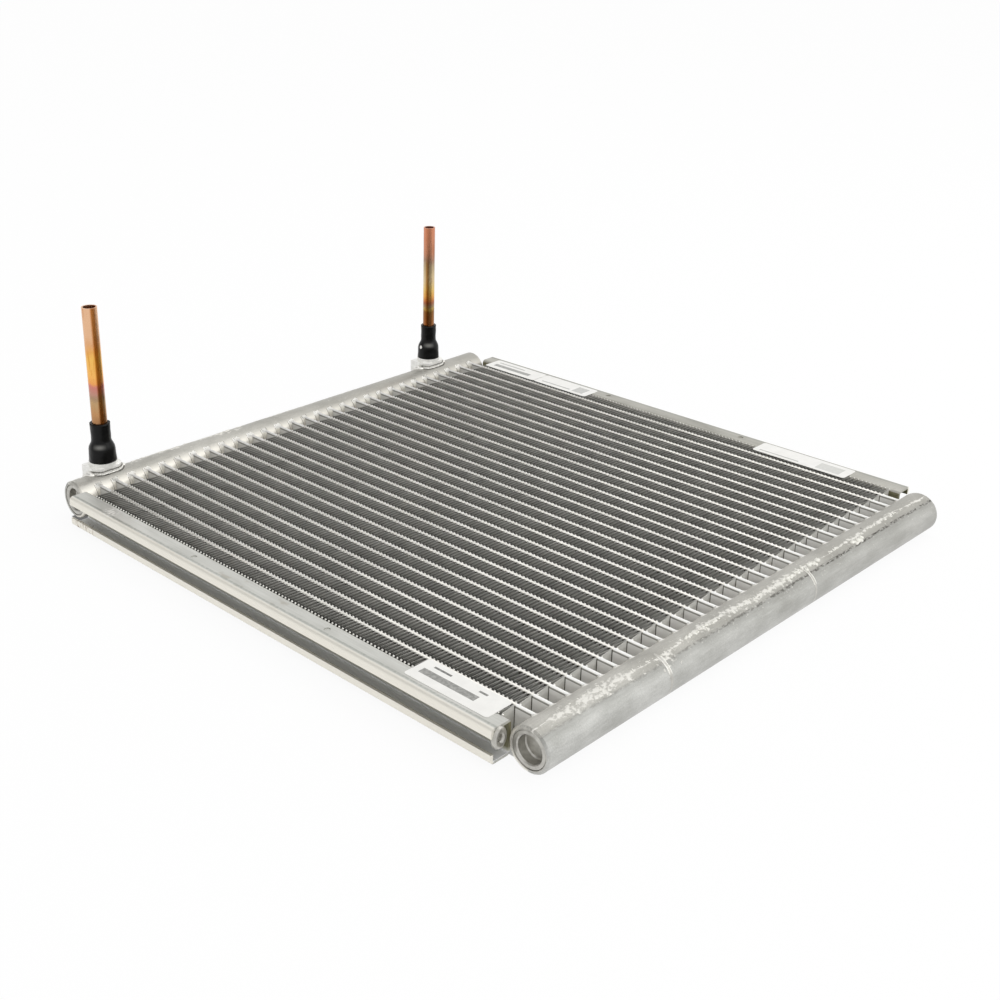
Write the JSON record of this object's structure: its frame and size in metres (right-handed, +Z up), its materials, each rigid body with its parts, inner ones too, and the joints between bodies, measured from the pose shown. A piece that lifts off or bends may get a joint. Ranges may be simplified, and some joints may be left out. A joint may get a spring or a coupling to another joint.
{
  "type": "microchannel condenser coil",
  "caption": "Flat brazed aluminium condenser coil: finned flat tubes between two round headers, lipped side rails, and two upright copper stub pipes.",
  "frame": {"origin": "On the floor, under the middle of the coil between the two headers", "axes": "+X along the flat tubes, from the header with the pipes to the return header; +Y along the headers, from the front rail to the rear rail; +Z up, the way the copper pipes point and the air flows through the fins"},
  "size_m": [0.3338, 0.32, 0.1084],
  "materials": {
    "aluminium": "brazed aluminium, matt, with a warm grey oxide",
    "plain_aluminium": "bare machined aluminium, satin",
    "fin_aluminium": "brazed aluminium tube and fin, dull",
    "copper": "drawn copper with heat tint from brazing",
    "sleeve": "black shrunk sleeve, matt",
    "label": "white coated label"
  },
  "bodies": {
    "root": {"port_header": "aluminium", "return_header": "aluminium", "front_rail": "aluminium", "rear_rail": "aluminium", "port_header_front_cap": "plain_aluminium", "port_header_rear_cap": "plain_aluminium", "return_header_front_cap": "plain_aluminium", "return_header_rear_cap": "plain_aluminium", "port_separator_1": "plain_aluminium", "port_separator_2": "plain_aluminium", "port_separator_3": "plain_aluminium", "return_separator_1": "plain_aluminium", "return_separator_2": "plain_aluminium", "front_block": "plain_aluminium", "rear_block": "plain_aluminium", "front_joint_pipe": "plain_aluminium", "rear_joint_pipe": "plain_aluminium", "front_copper_pipe": "copper", "rear_copper_pipe": "copper", "front_sleeve": "sleeve", "rear_sleeve": "sleeve", "front_label": "label", "rear_label": "label", "outer_left_label": "label", "inner_left_label": "label", "finned_tube_01": "fin_aluminium", "finned_tube_02": "fin_aluminium", "finned_tube_03": "fin_aluminium", "finned_tube_04": "fin_aluminium", "finned_tube_05": "fin_aluminium", "finned_tube_06": "fin_aluminium", "finned_tube_07": "fin_aluminium", "finned_tube_08": "fin_aluminium", "finned_tube_09": "fin_aluminium", "finned_tube_10": "fin_aluminium", "finned_tube_11": "fin_aluminium", "finned_tube_12": "fin_aluminium", "finned_tube_13": "fin_aluminium", "finned_tube_14": "fin_aluminium", "finned_tube_15": "fin_aluminium", "finned_tube_16": "fin_aluminium", "finned_tube_17": "fin_aluminium", "finned_tube_18": "fin_aluminium", "finned_tube_19": "fin_aluminium", "finned_tube_20": "fin_aluminium", "finned_tube_21": "fin_aluminium", "finned_tube_22": "fin_aluminium", "finned_tube_23": "fin_aluminium", "finned_tube_24": "fin_aluminium", "finned_tube_25": "fin_aluminium", "finned_tube_26": "fin_aluminium", "finned_tube_27": "fin_aluminium", "finned_tube_28": "fin_aluminium", "finned_tube_29": "fin_aluminium"}
  },
  "joints": []
}
